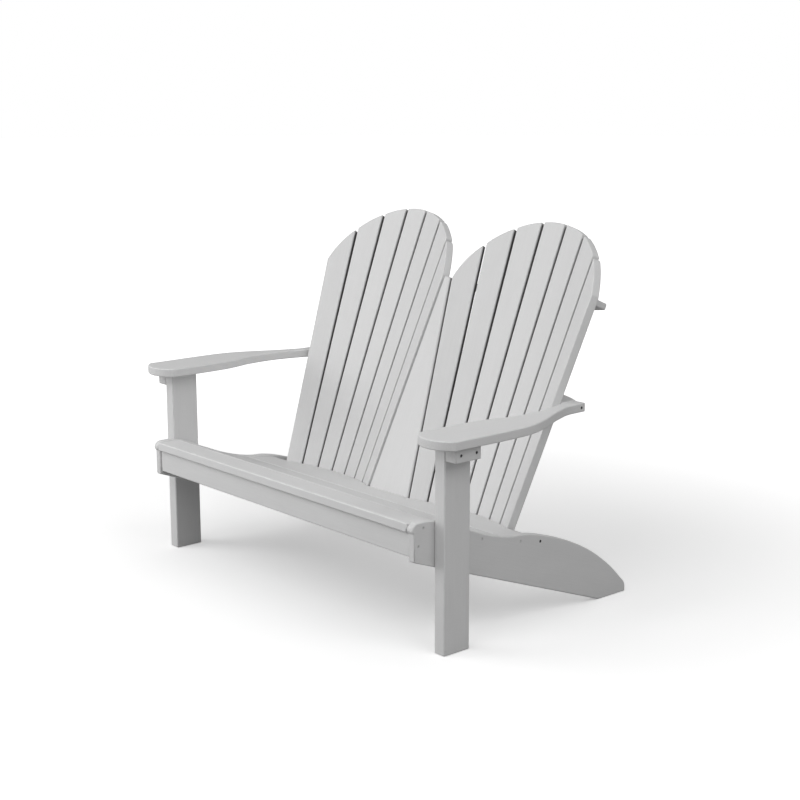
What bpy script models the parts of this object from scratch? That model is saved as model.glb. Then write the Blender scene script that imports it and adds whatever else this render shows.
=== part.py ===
"""A two-seat garden bench in plastic lumber: two fan-shaped backs side by side, over one dished seat.

Run it with blender --background --python part.py, or from Blender's text editor. Lengths are in metres
and angles in degrees. The bench faces -Y and +Z is up. Left (-X) and right (+X) are those of a person who
looks at its front. The origin is on the ground, under the middle of the bench.
"""

import math

import bmesh
import bpy
from mathutils import Matrix, Vector

# Fits and cuts
TOUCH_GAP = 0.0003  # left between two pieces that touch
OVERRUN = 0.030  # how far a cutter reaches past what it cuts
EASED_EDGE = 0.0025  # the planed-off edge of every board
ARC_SIDES = 96  # flats around a large round cut
CURVE_STEPS = 5  # flats between two points of a curved outline
SETTLING_ROUNDS = 8  # in which a place that depends on itself settles

# Place of the bench
SEAT_NOSE_Y = -0.4125

# Legs
LEG_THICKNESS = 0.0381
LEG_DEPTH = 0.0889
LEG_HEIGHT = 0.5491
LEG_SETBACK = 0.0728  # behind the seat's nose

# Stringers, the two curved side boards that carry the seat and end in the rear feet
STRINGER_THICKNESS = 0.0230
STRINGER_TAIL = 0.2647  # how far they go on behind the fans' lower station
STRINGER_LIP = 0.0007  # how far they stand over the seat's nose
STRINGER_SETBACK = 0.0058
STRINGER_TOP_SHARES = (
    # along the length, up the height, and whether the edge runs smoothly through the point
    (0.000, 0.918, False),
    (-0.007, 0.950, True),
    (0.006, 0.994, True),
    (0.030, 1.000, True),
    (0.084, 0.991, True),
    (0.198, 0.889, True),
    (0.330, 0.770, True),
    (0.430, 0.716, True),
    (0.490, 0.705, True),
    (0.587, 0.651, True),
    (0.751, 0.505, True),
    (0.882, 0.318, True),
    (0.977, 0.122, True),
    (0.997, 0.069, True),
    (1.000, 0.000, False),
)
STRINGER_TOE_SHARE = 0.861  # where the foot's flat starts, along the length
STRINGER_CHIN_SHARE = 0.715  # how high the lower front corner is

# Seat boards, which lie between the stringers
SEAT_THICKNESS = 0.0250
SEAT_NOSE_HEIGHT = 0.3538
SEAT_SEAM = 0.0040
FRONT_BOARD_WIDTH = 0.0695
FRONT_BOARD_PITCH = 2.0
SECOND_BOARD_WIDTH = 0.1340
SECOND_BOARD_PITCH = 23.5
THIRD_BOARD_WIDTH = 0.1340
THIRD_BOARD_PITCH = 17.5
REAR_BOARD_PITCH = 8.5

# Apron, the upright board under the seat's nose
APRON_THICKNESS = 0.0250
APRON_SETBACK = 0.0102
APRON_HEIGHT = 0.0650

# Brace, the board on edge under the middle of the seat
BRACE_THICKNESS = 0.0250
BRACE_DEPTH = 0.0560  # below the seat boards, at its rear end

# Arms
ARM_THICKNESS = 0.0251
ARM_TAIL_REACH = 0.0738  # of its rear end, behind the front of the rail between the arms
ARM_TAIL_CLEARANCE = 0.0050  # between its tail and the outermost slat
ARM_WIDTH = 0.1390
ARM_NOSE = 0.0345  # how far the round front stands ahead of the corners
ARM_LEAD = 0.0173  # front corners, ahead of the leg
ARM_INNER_OVERHANG = 0.0418  # inside the leg
ARM_NOSE_SIDES = 14
ARM_OUTER_SHARES = (
    # along the length, across the width from the inner edge, and whether it runs smoothly through the point
    (0.365, 1.000, True),
    (0.430, 0.985, True),
    (0.505, 0.930, True),
    (0.600, 0.790, True),
    (0.700, 0.590, True),
    (0.795, 0.420, True),
    (0.880, 0.300, True),
    (0.935, 0.283, True),
    (1.000, 0.281, False),
)
ARM_INNER_SHARES = (
    (1.000, 0.007, False),
    (0.905, 0.007, False),
    (0.846, 0.079, True),
    (0.770, 0.160, True),
    (0.680, 0.212, True),
    (0.590, 0.216, True),
    (0.500, 0.172, True),
    (0.410, 0.070, True),
    (0.335, 0.014, True),
)

# Blocks that widen the legs under the arms
BLOCK_THICKNESS = 0.0394
BLOCK_HEIGHT = 0.0383
BLOCK_DEPTH = 0.0875

# Fans, the two backs: seven tapered slats each, which spread upwards and lie around an arc
FAN_GAP = 0.0237  # between the two fans, where they are widest
FAN_LEAN = 22.44
FAN_STATION_LIFT = 0.0462  # from the seat's nose up to the lower station, where the lower sizes are given
FAN_STATION_SETBACK = 0.5446  # face of the middle slat there, behind the seat's nose
FAN_RISE = 0.6490  # from the lower to the upper station, along the middle slat
FAN_LOWER_RADIUS = 0.4780
FAN_UPPER_RADIUS = 0.6180
FAN_TAIL = 0.2180  # how far the slats go on below the lower station
SLATS_PER_FAN = 7
SLAT_THICKNESS = 0.0240
SLAT_LOWER_WIDTH = 0.0602
SLAT_UPPER_WIDTH = 0.0796
SLAT_LOWER_SEAM = 0.0065
SLAT_UPPER_SEAM = 0.0092
ARCH_RISE = 0.3980  # the middle of the round top, above the lower station
ARCH_MARGIN = 0.0167  # by which the round top's radius passes the fan's half width at its middle
ARCH_SIDES = 60

# Wedge, the flat slat that fills the V between the fans
WEDGE_TOP_WIDTH = 0.0233
WEDGE_CLEARANCE = 0.0004  # to the rear corners of the slats next to it
WEDGE_ROOM = 0.0022  # on each side of it, where the rails are notched for it

# Rails, which tie the slats together behind the backs
LOWER_RAIL_THICKNESS = 0.0190
LOWER_RAIL_DROP = 0.2030  # its middle, below the lower station
LOWER_RAIL_DEPTH = 0.0520
ARM_RAIL_DEPTH = 0.0520
UPPER_RAIL_THICKNESS = 0.0190
UPPER_RAIL_DROP = 0.0085  # its middle, below the wedge's top
UPPER_RAIL_DEPTH = 0.0370
UPPER_RAIL_OVERHANG = 0.0060  # past the outermost slat's face
RAIL_STEPS = 48

# Screws
SCREW_HEAD_RADIUS = 0.0041
SCREW_HEAD_HEIGHT = 0.0030
SCREW_SHANK_RADIUS = 0.0022
SCREW_RECESS = 0.0005  # how far the head lies under the face
SCREW_BITE = 0.0280  # how far the shank goes into the second board
SCREW_SIDES = 12
SEAT_SCREW_SHARES = (0.55, 0.35, 0.53)  # across the front, the third and the rear board
APRON_SCREW_SHARES = (0.40, 0.50)  # of its thickness and its height
BLOCK_SCREW_SHARES = (0.21, 0.81)
ARM_SCREW_SHARE = 0.973
RAIL_SCREW_SHARE = 0.69
RAIL_SCREW_RISE = 0.0024  # above the middle of the lower rail's edge
LEG_SCREW_SHARES = (0.25, 0.75)
LEG_SCREW_DROP = 0.0704  # below the seat's nose

# Colours and surfaces
LUMBER_GREY = (0.70, 0.70, 0.70)
LUMBER_ROUGHNESS = 0.48
SCREW_GREY = (0.16, 0.16, 0.17)
SCREW_ROUGHNESS = 0.35

# Worked out from the sizes above
STRINGER_HEIGHT = SEAT_NOSE_HEIGHT + STRINGER_LIP
STRINGER_FRONT_Y = SEAT_NOSE_Y + STRINGER_SETBACK
LEG_FRONT_Y = SEAT_NOSE_Y + LEG_SETBACK
APRON_FRONT_Y = SEAT_NOSE_Y + APRON_SETBACK
ARM_CORNER_Y = LEG_FRONT_Y - ARM_LEAD
ARM_BOTTOM = LEG_HEIGHT + TOUCH_GAP
ARM_MIDDLE = ARM_BOTTOM + ARM_THICKNESS / 2
ARM_TOP = ARM_BOTTOM + ARM_THICKNESS
FAN_STATION_Y = SEAT_NOSE_Y + FAN_STATION_SETBACK
FAN_STATION_HEIGHT = SEAT_NOSE_HEIGHT + FAN_STATION_LIFT
STRINGER_LENGTH = FAN_STATION_Y + STRINGER_TAIL - STRINGER_FRONT_Y
SIDES = {"left": -1, "right": 1}


class Fan:
    """The rule that both fans follow, in a frame that leans back with the middle slat.

    In that frame X runs across, Y runs back, square to the middle slat, and Z runs up the middle slat's face.
    """

    LEAN = math.radians(FAN_LEAN)
    FRAME = Matrix.Translation((0, FAN_STATION_Y, FAN_STATION_HEIGHT)) @ Matrix.Rotation(-LEAN, 4, "X")

    @staticmethod
    def radius(rise):
        """Radius of the arc that the slats' faces lie around, at this rise above the lower station."""
        return FAN_LOWER_RADIUS + (FAN_UPPER_RADIUS - FAN_LOWER_RADIUS) * rise / FAN_RISE

    @staticmethod
    def slat_width(rise):
        return SLAT_LOWER_WIDTH + (SLAT_UPPER_WIDTH - SLAT_LOWER_WIDTH) * rise / FAN_RISE

    @staticmethod
    def slat_angle(place, upper):
        """Angle around the arc of a slat's middle line, where place counts slats from the middle one."""
        if upper:
            return place * (SLAT_UPPER_WIDTH + SLAT_UPPER_SEAM) / FAN_UPPER_RADIUS
        return place * (SLAT_LOWER_WIDTH + SLAT_LOWER_SEAM) / FAN_LOWER_RADIUS

    @classmethod
    def face_point(cls, place, upper):
        """Point on the middle line of a slat's face, at the lower or the upper station."""
        rise = FAN_RISE if upper else 0
        angle = cls.slat_angle(place, upper)
        radius = cls.radius(rise)
        return Vector((radius * math.sin(angle), radius * (math.cos(angle) - 1), rise))

    @classmethod
    def edge_point(cls, upper, depth=0):
        """Outer edge of the outermost slat at a station: of its face, or this deep behind the face."""
        place = (SLATS_PER_FAN - 1) / 2
        rise = FAN_RISE if upper else 0
        angle = cls.slat_angle(place, upper)
        across = Vector((math.cos(angle), -math.sin(angle), 0))
        back = Vector((math.sin(angle), math.cos(angle), 0))
        return cls.face_point(place, upper) + across * cls.slat_width(rise) / 2 + back * depth

    @classmethod
    def edge_at(cls, rise, depth=0):
        """The same edge at any rise above the lower station."""
        return cls.edge_point(False, depth).lerp(cls.edge_point(True, depth), rise / FAN_RISE)

    @classmethod
    def rear_edge_x(cls, height):
        """How far out the outermost slat's rear corner is, at this height above the ground."""
        lower = cls.FRAME @ cls.edge_point(False, SLAT_THICKNESS)
        upper = cls.FRAME @ cls.edge_point(True, SLAT_THICKNESS)
        return lower.x + (upper.x - lower.x) * (height - lower.z) / (upper.z - lower.z)

    @classmethod
    def arch_radius(cls):
        return cls.edge_at(ARCH_RISE).x + ARCH_MARGIN

    @classmethod
    def widest_x(cls):
        """Half the fan's width at its rear, where the round top cuts the outermost slat's edge."""
        foot = cls.edge_point(False) - Vector((0, 0, ARCH_RISE))
        step = cls.edge_point(True) - cls.edge_point(False)
        square = step.x**2 + step.z**2
        linear = foot.x * step.x + foot.z * step.z
        rest = foot.x**2 + foot.z**2 - cls.arch_radius() ** 2
        share = (math.sqrt(linear**2 - square * rest) - linear) / square
        return cls.edge_at(share * FAN_RISE, SLAT_THICKNESS).x

    @classmethod
    def back_radius(cls, rise, extra=0):
        """Radius around the same middle that just clears the slats' rear corners, plus an extra."""
        corner = math.hypot(cls.radius(rise) + SLAT_THICKNESS, cls.slat_width(rise) / 2)
        return corner + TOUCH_GAP + extra

    @classmethod
    def back_y_leaning(cls, across, rise, extra):
        """How far back that arc is in the leaning frame."""
        reach = cls.back_radius(rise, extra)
        return math.sqrt(max(reach * reach - across * across, 0)) - cls.radius(rise)

    @classmethod
    def back_y_level(cls, across, height, extra):
        """How far back that arc is in the bench's frame, at this height above the ground."""
        back = 0
        for _ in range(SETTLING_ROUNDS):
            rise = (height - FAN_STATION_HEIGHT + back * math.sin(cls.LEAN)) / math.cos(cls.LEAN)
            back = cls.back_y_leaning(across, rise, extra)
        return FAN_STATION_Y + rise * math.sin(cls.LEAN) + back * math.cos(cls.LEAN)


# Between the middles of the two fans
FAN_SPACING = 2 * Fan.widest_x() + FAN_GAP


class Wedge:
    """The plane through the fans' inner edges, which the wedge's face and the seat's rear edge lie in."""

    LOWER = Fan.FRAME @ Fan.edge_point(False)
    UPPER = Fan.FRAME @ Fan.edge_point(True)
    LEAN = math.atan2(UPPER.y - LOWER.y, UPPER.z - LOWER.z)
    BOTTOM = FAN_STATION_HEIGHT - FAN_TAIL * math.cos(Fan.LEAN)

    @classmethod
    def face_y(cls, height):
        return cls.LOWER.y + (height - cls.LOWER.z) * math.tan(cls.LEAN)

    @classmethod
    def half_width(cls, height):
        """Half the width that fits between the rear corners of the slats on its two sides."""
        # The rear corners lie lower than the faces, so heights are compared at the wedge's rear face.
        rear_height = height - SLAT_THICKNESS * math.sin(cls.LEAN)
        return FAN_SPACING / 2 - Fan.rear_edge_x(rear_height) - WEDGE_CLEARANCE

    @classmethod
    def top_height(cls):
        """Height at which the wedge has tapered to the width of its top."""
        taper = (cls.half_width(cls.LOWER.z) - cls.half_width(cls.BOTTOM)) / (cls.LOWER.z - cls.BOTTOM)
        return cls.BOTTOM + (WEDGE_TOP_WIDTH / 2 - cls.half_width(cls.BOTTOM)) / taper

    @classmethod
    def top_rise(cls):
        """The same place on its face, measured up the fans' middle slats from the lower station."""
        height = cls.top_height()
        return (Fan.FRAME.inverted() @ Vector((0, cls.face_y(height), height))).z

    @classmethod
    def outline(cls, bottom, top, clearance):
        """Front view between two heights, drawn in the wedge's plane from the lower station's height."""
        points = []
        for height, edge in ((bottom, -1), (bottom, 1), (top, 1), (top, -1)):
            along = (height - cls.LOWER.z) / math.cos(cls.LEAN)
            points.append((edge * (cls.half_width(height) + clearance), along))
        return points

    @classmethod
    def plane(cls, depth):
        """Frame of the plane this deep behind the wedge's face: X across, Y up and Z out of the face."""
        face = Matrix.Translation((0, cls.LOWER.y, cls.LOWER.z)) @ Matrix.Rotation(-cls.LEAN, 4, "X")
        return face @ Matrix.Translation((0, depth, 0)) @ Matrix.Rotation(math.radians(90), 4, "X")


# Worked out from the fans, outwards from the middle of the bench
WEDGE_TOP_HEIGHT = Wedge.top_height()
UPPER_RAIL_RISE = Wedge.top_rise() - UPPER_RAIL_DROP
ARM_TAIL_X = FAN_SPACING / 2 + Fan.rear_edge_x(ARM_TOP) + ARM_TAIL_CLEARANCE
ARM_INNER_X = ARM_TAIL_X - ARM_INNER_SHARES[0][1] * ARM_WIDTH
ARM_LENGTH = Wedge.face_y(ARM_TOP) + TOUCH_GAP + ARM_TAIL_REACH - ARM_CORNER_Y
LEG_INNER_X = ARM_INNER_X + ARM_INNER_OVERHANG
LEG_OUTER_X = LEG_INNER_X + LEG_THICKNESS
STRINGER_OUTER_X = LEG_INNER_X - TOUCH_GAP
STRINGER_INNER_X = STRINGER_OUTER_X - STRINGER_THICKNESS
SEAT_LENGTH = 2 * (STRINGER_INNER_X - TOUCH_GAP)


def clear_scene():
    for old in list(bpy.data.objects):
        bpy.data.objects.remove(old, do_unlink=True)


def new_collection(name, is_helper):
    collection = bpy.data.collections.new(name)
    collection.hide_render = is_helper
    bpy.context.scene.collection.children.link(collection)
    return collection


def new_material(name, colour, roughness, metallic):
    material = bpy.data.materials.new(name)
    material.use_nodes = True
    material.diffuse_color = (*colour, 1)
    shader = material.node_tree.nodes["Principled BSDF"]
    shader.inputs["Base Color"].default_value = (*colour, 1)
    shader.inputs["Roughness"].default_value = roughness
    shader.inputs["Metallic"].default_value = metallic
    return material


def lumber(name):
    return new_material(name, LUMBER_GREY, LUMBER_ROUGHNESS, 0)


def new_empty(name, matrix, parent):
    empty = bpy.data.objects.new(name, None)
    PARTS.objects.link(empty)
    empty.parent = parent
    empty.matrix_basis = matrix
    return empty


def outline_mesh(name, points, thickness):
    """Mesh of a flat outline, thickness centred on its plane. A point is (x, y) or (x, y, smooth)."""
    curve = bpy.data.curves.new(name + "_outline", "CURVE")
    curve.dimensions = "2D"
    curve.fill_mode = "BOTH"
    curve.extrude = thickness / 2
    curve.resolution_u = CURVE_STEPS
    spline = curve.splines.new("BEZIER")
    spline.use_cyclic_u = True
    spline.bezier_points.add(len(points) - 1)
    for knot, point in zip(spline.bezier_points, points):
        smooth = len(point) > 2 and point[2]
        knot.co = (point[0], point[1], 0)
        knot.handle_left_type = knot.handle_right_type = "AUTO" if smooth else "VECTOR"
    if not any(len(point) > 2 and point[2] for point in points):
        curve.resolution_u = 1
    guide = bpy.data.objects.new(name + "_outline", curve)
    bpy.context.scene.collection.objects.link(guide)
    graph = bpy.context.evaluated_depsgraph_get()
    mesh = bpy.data.meshes.new_from_object(guide.evaluated_get(graph))
    bpy.data.objects.remove(guide, do_unlink=True)
    shape = bmesh.new()
    shape.from_mesh(mesh)
    bmesh.ops.remove_doubles(shape, verts=shape.verts, dist=TOUCH_GAP / 10)
    bmesh.ops.dissolve_limit(
        shape, angle_limit=math.radians(0.05), verts=shape.verts, edges=shape.edges, delimit={"NORMAL"}
    )
    bmesh.ops.recalc_face_normals(shape, faces=shape.faces)
    shape.to_mesh(mesh)
    shape.free()
    mesh.name = name
    return mesh


def box_mesh(name, size):
    shape = bmesh.new()
    bmesh.ops.create_cube(shape, size=1)
    bmesh.ops.scale(shape, verts=shape.verts, vec=size)
    mesh = bpy.data.meshes.new(name)
    shape.to_mesh(mesh)
    shape.free()
    return mesh


def new_part(name, mesh, matrix, material, parent, eased=True):
    """A sub-part, with eased edges unless a later cut has to stay sharp."""
    part = bpy.data.objects.new(name, mesh)
    PARTS.objects.link(part)
    part.parent = parent
    part.matrix_basis = matrix
    mesh.materials.clear()
    mesh.materials.append(material)
    if eased:
        ease_edges(part)
    return part


def ease_edges(part):
    bevel = part.modifiers.new("eased_edges", "BEVEL")
    bevel.width = EASED_EDGE
    bevel.segments = 1
    bevel.limit_method = "ANGLE"
    bevel.angle_limit = math.radians(40)


def new_cutter(name, mesh, matrix):
    cutter = bpy.data.objects.new(name, mesh)
    CUTTERS.objects.link(cutter)
    cutter.matrix_basis = matrix
    cutter.hide_render = True
    cutter.display_type = "WIRE"
    return cutter


def boolean(part, operation, other):
    modifier = part.modifiers.new(other.name, "BOOLEAN")
    modifier.operation = operation
    modifier.solver = "EXACT"
    modifier.object = other


# Turns a side view, drawn as (y, z), into a board that lies along X.
SIDE_VIEW = Matrix.Rotation(math.radians(90), 4, "Z") @ Matrix.Rotation(math.radians(90), 4, "X")


def make_legs(parent):
    material = lumber("leg_plastic")
    for side, sign in SIDES.items():
        mesh = box_mesh("leg_" + side, (LEG_THICKNESS, LEG_DEPTH, LEG_HEIGHT))
        middle = (sign * (LEG_INNER_X + LEG_THICKNESS / 2), LEG_FRONT_Y + LEG_DEPTH / 2, LEG_HEIGHT / 2)
        new_part("leg_" + side, mesh, Matrix.Translation(middle), material, parent)


def make_arm_blocks(parent):
    material = lumber("arm_block_plastic")
    for side, sign in SIDES.items():
        mesh = box_mesh("arm_block_" + side, (BLOCK_THICKNESS, BLOCK_DEPTH, BLOCK_HEIGHT))
        middle = (
            sign * (LEG_OUTER_X + TOUCH_GAP + BLOCK_THICKNESS / 2),
            LEG_FRONT_Y + BLOCK_DEPTH / 2,
            LEG_HEIGHT - BLOCK_HEIGHT / 2,
        )
        new_part("arm_block_" + side, mesh, Matrix.Translation(middle), material, parent)


def arm_outline(sign):
    """Plan of an arm as (x, y, smooth), from the inner front corner over the round nose and back inside."""
    radius = (ARM_NOSE**2 + (ARM_WIDTH / 2) ** 2) / (2 * ARM_NOSE)
    sweep = math.asin(ARM_WIDTH / 2 / radius)
    middle_x = ARM_INNER_X + ARM_WIDTH / 2
    points = []
    for step in range(ARM_NOSE_SIDES + 1):
        angle = sweep * (2 * step / ARM_NOSE_SIDES - 1)
        bulge = radius * math.cos(angle) - (radius - ARM_NOSE)
        points.append((middle_x + radius * math.sin(angle), ARM_CORNER_Y - bulge, False))
    for along, across, smooth in ARM_OUTER_SHARES + ARM_INNER_SHARES:
        points.append((ARM_INNER_X + across * ARM_WIDTH, ARM_CORNER_Y + along * ARM_LENGTH, smooth))
    return [(sign * x, y, smooth) for x, y, smooth in points]


def make_arms(parent):
    material = lumber("arm_plastic")
    for side, sign in SIDES.items():
        mesh = outline_mesh("arm_" + side, arm_outline(sign), ARM_THICKNESS)
        new_part("arm_" + side, mesh, Matrix.Translation((0, 0, ARM_MIDDLE)), material, parent)


def make_stringers(parent):
    material = lumber("stringer_plastic")
    outline = []
    for along, up, smooth in STRINGER_TOP_SHARES:
        outline.append((STRINGER_FRONT_Y + along * STRINGER_LENGTH, up * STRINGER_HEIGHT, smooth))
    outline.append((STRINGER_FRONT_Y + STRINGER_TOE_SHARE * STRINGER_LENGTH, 0))
    outline.append((STRINGER_FRONT_Y, STRINGER_CHIN_SHARE * STRINGER_HEIGHT))
    for side, sign in SIDES.items():
        mesh = outline_mesh("stringer_" + side, outline, STRINGER_THICKNESS)
        middle_x = sign * (STRINGER_INNER_X + STRINGER_THICKNESS / 2)
        place = Matrix.Translation((middle_x, 0, 0)) @ SIDE_VIEW
        new_part("stringer_" + side, mesh, place, material, parent)


class SeatBoard:
    """Side view of one seat board: where its top starts and ends, and the mitres at its two edges."""

    def __init__(self, start, width, pitch):
        self.pitch = math.radians(pitch)
        self.along = Vector((math.cos(self.pitch), -math.sin(self.pitch)))
        self.start = start
        self.end = start + self.along * width
        self.front_mitre = self.pitch
        self.rear_mitre = self.pitch

    def under(self, point, mitre):
        """The bottom corner that belongs to a top corner, down the mitre."""
        depth = SEAT_THICKNESS / math.cos(mitre - self.pitch)
        return point - Vector((math.sin(mitre), math.cos(mitre))) * depth

    def front_under(self):
        return self.under(self.start, self.front_mitre)

    def rear_under(self):
        return self.under(self.end, self.rear_mitre)

    def corners(self):
        return [self.start, self.end, self.rear_under(), self.front_under()]

    def screw_point(self, share):
        """Point this share of the way across the board, halfway through it."""
        above = self.start.lerp(self.end, share)
        below = self.front_under().lerp(self.rear_under(), share)
        return above.lerp(below, 0.5)


def plan_seat():
    """The four seat boards from front to rear, each starting one seam behind the last."""
    start = Vector((SEAT_NOSE_Y, SEAT_NOSE_HEIGHT))
    boards = []
    rear_reach = Wedge.face_y(SEAT_NOSE_HEIGHT) - SEAT_NOSE_Y
    widths = (FRONT_BOARD_WIDTH, SECOND_BOARD_WIDTH, THIRD_BOARD_WIDTH, rear_reach)
    pitches = (FRONT_BOARD_PITCH, SECOND_BOARD_PITCH, THIRD_BOARD_PITCH, REAR_BOARD_PITCH)
    for width, pitch in zip(widths, pitches):
        board = SeatBoard(start, width, pitch)
        if boards:
            board.front_mitre = (board.pitch + boards[-1].pitch) / 2
            boards[-1].rear_mitre = board.front_mitre
            seam_along = Vector((math.cos(board.front_mitre), -math.sin(board.front_mitre)))
            moved = SeatBoard(start + seam_along * SEAT_SEAM, width, pitch)
            moved.front_mitre = board.front_mitre
            board = moved
        boards.append(board)
        start = board.end
    return boards


def make_seat_boards(parent, boards):
    material = lumber("seat_plastic")
    for place, board in zip(("front", "second", "third"), boards):
        name = "seat_board_" + place
        mesh = outline_mesh(name, [tuple(point) for point in board.corners()], SEAT_LENGTH)
        new_part(name, mesh, SIDE_VIEW, material, parent)
    make_rear_seat_board(parent, boards[-1], material)


def make_rear_seat_board(parent, board, material):
    """Its rear edge follows the wedge's plane, and swells back under each fan up to the slats' faces."""
    mesh = outline_mesh("seat_board_rear", [tuple(point) for point in board.corners()], SEAT_LENGTH)
    part = new_part("seat_board_rear", mesh, SIDE_VIEW, material, parent, eased=False)
    boolean(part, "DIFFERENCE", CUTS["behind_seat"])
    ease_edges(part)


def apron_top(boards):
    """The apron's rear top edge meets the underside of the front seat board."""
    rear = boards[0].front_under() + boards[0].along * (APRON_SETBACK + APRON_THICKNESS)
    return rear.y - TOUCH_GAP


def make_apron(parent, boards):
    mesh = box_mesh("apron", (SEAT_LENGTH, APRON_THICKNESS, APRON_HEIGHT))
    middle = (0, APRON_FRONT_Y + APRON_THICKNESS / 2, apron_top(boards) - APRON_HEIGHT / 2)
    new_part("apron", mesh, Matrix.Translation(middle), lumber("apron_plastic"), parent)


def make_brace(parent, boards):
    """Its top edge follows the undersides of the seat boards, from the apron to the wedge."""
    below = Vector((0, -TOUCH_GAP / math.cos(math.radians(SECOND_BOARD_PITCH))))
    front_y = APRON_FRONT_Y + APRON_THICKNESS + TOUCH_GAP
    rear_under = boards[-1].front_under()
    rear_height = rear_under.y
    for _ in range(SETTLING_ROUNDS):
        rear_y = Wedge.face_y(rear_height - BRACE_DEPTH) - TOUCH_GAP
        rear_height = rear_under.y - (rear_y - rear_under.x) * math.tan(boards[-1].pitch)
    front_under = boards[0].front_under()
    front_height = front_under.y - (front_y - front_under.x) * math.tan(boards[0].pitch)
    top = [Vector((front_y, front_height)) + below]
    for before, after in zip(boards, boards[1:]):
        top.append(before.rear_under() + below)
        top.append(after.front_under() + below)
    top.append(Vector((rear_y, rear_height)) + below)
    apron_bottom = apron_top(boards) - APRON_HEIGHT
    bottom = [Vector((rear_y, rear_height - BRACE_DEPTH)), Vector((front_y, apron_bottom))]
    mesh = outline_mesh("seat_brace", [tuple(point) for point in top + bottom], BRACE_THICKNESS)
    new_part("seat_brace", mesh, SIDE_VIEW, lumber("brace_plastic"), parent)


def slanted_drum(name, lower_radius, upper_radius, matrix):
    """A cutter that grows from the lower radius to the upper one, around the same middles as the slats.

    The radii are those at the two stations.
    """
    bottom = -FAN_TAIL - OVERRUN
    top = FAN_RISE
    # Flats are drawn around the circle, so that they and not their corners reach the radius.
    spread = 1 / math.cos(math.pi / ARC_SIDES)
    shape = bmesh.new()
    bmesh.ops.create_cone(shape, cap_ends=True, segments=ARC_SIDES, radius1=1, radius2=1, depth=top - bottom)
    for vert in shape.verts:
        rise = top if vert.co.z > 0 else bottom
        reach = (lower_radius + (upper_radius - lower_radius) * rise / FAN_RISE) * spread
        vert.co = (vert.co.x * reach, vert.co.y * reach - Fan.radius(rise), rise)
    mesh = bpy.data.meshes.new(name)
    shape.to_mesh(mesh)
    shape.free()
    return new_cutter(name, mesh, matrix)


def make_cuts():
    """The cutters that several pieces share."""
    shrink = math.cos(math.pi / ARC_SIDES)
    for side, sign in SIDES.items():
        matrix = Matrix.Translation((sign * FAN_SPACING / 2, 0, 0)) @ Fan.FRAME
        lower_face = (FAN_LOWER_RADIUS - TOUCH_GAP) * shrink
        upper_face = (FAN_UPPER_RADIUS - TOUCH_GAP) * shrink
        CUTS["fan_face_" + side] = slanted_drum("fan_face_" + side, lower_face, upper_face, matrix)
        lower_back = Fan.back_radius(0)
        upper_back = Fan.back_radius(FAN_RISE)
        CUTS["fan_back_" + side] = slanted_drum("fan_back_" + side, lower_back, upper_back, matrix)
    CUTS["behind_seat"] = make_behind_seat()
    CUTS["wedge_slot"] = make_wedge_slot()


def make_behind_seat():
    """Everything behind the wedge's face, but in front of the fans' faces."""
    reach = FAN_RISE + OVERRUN
    mesh = box_mesh("behind_seat", (SEAT_LENGTH + OVERRUN, reach * 2, reach))
    behind = new_cutter("behind_seat", mesh, Wedge.plane(reach / 2 - TOUCH_GAP))
    for side in SIDES:
        boolean(behind, "DIFFERENCE", CUTS["fan_face_" + side])
    return behind


def make_wedge_slot():
    """The notch for the wedge in the rails."""
    depth = SLAT_THICKNESS + TOUCH_GAP + OVERRUN
    points = Wedge.outline(Wedge.BOTTOM - OVERRUN, WEDGE_TOP_HEIGHT + OVERRUN, WEDGE_ROOM)
    mesh = outline_mesh("wedge_slot", points, depth)
    return new_cutter("wedge_slot", mesh, Wedge.plane(SLAT_THICKNESS + TOUCH_GAP - depth / 2))


def make_arch_cutter(name, lower, across, up, matrix):
    """Everything outside the fan's round top, cut square to one slat.

    The round is a true arc as seen square to the fan's middle slat, so its points are carried to this
    slat's own face.
    """
    outline = []
    radius = Fan.arch_radius()
    for step in range(ARCH_SIDES + 1):
        angle = math.pi * step / ARCH_SIDES
        outline.append((radius * math.cos(angle), radius * math.sin(angle)))
    reach = radius + OVERRUN * 2
    outline += [(-reach, 0), (-reach, reach), (reach, reach), (reach, 0)]
    to_face = Matrix(((across.x, up.x), (across.z, up.z))).inverted()
    points = [to_face @ Vector((x - lower.x, ARCH_RISE + rise - lower.z)) for x, rise in outline]
    mesh = outline_mesh(name, [tuple(point) for point in points], SLAT_THICKNESS + OVERRUN)
    return new_cutter(name, mesh, matrix)


def make_slats(parent):
    material = lumber("slat_plastic")
    for side, sign in SIDES.items():
        matrix = Matrix.Translation((sign * FAN_SPACING / 2, 0, 0)) @ Fan.FRAME
        frame = new_empty("fan_" + side, matrix, parent)
        for number in range(SLATS_PER_FAN):
            name = f"back_slat_{side}_{number + 1}"
            make_slat(name, number - (SLATS_PER_FAN - 1) / 2, frame, material)


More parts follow.
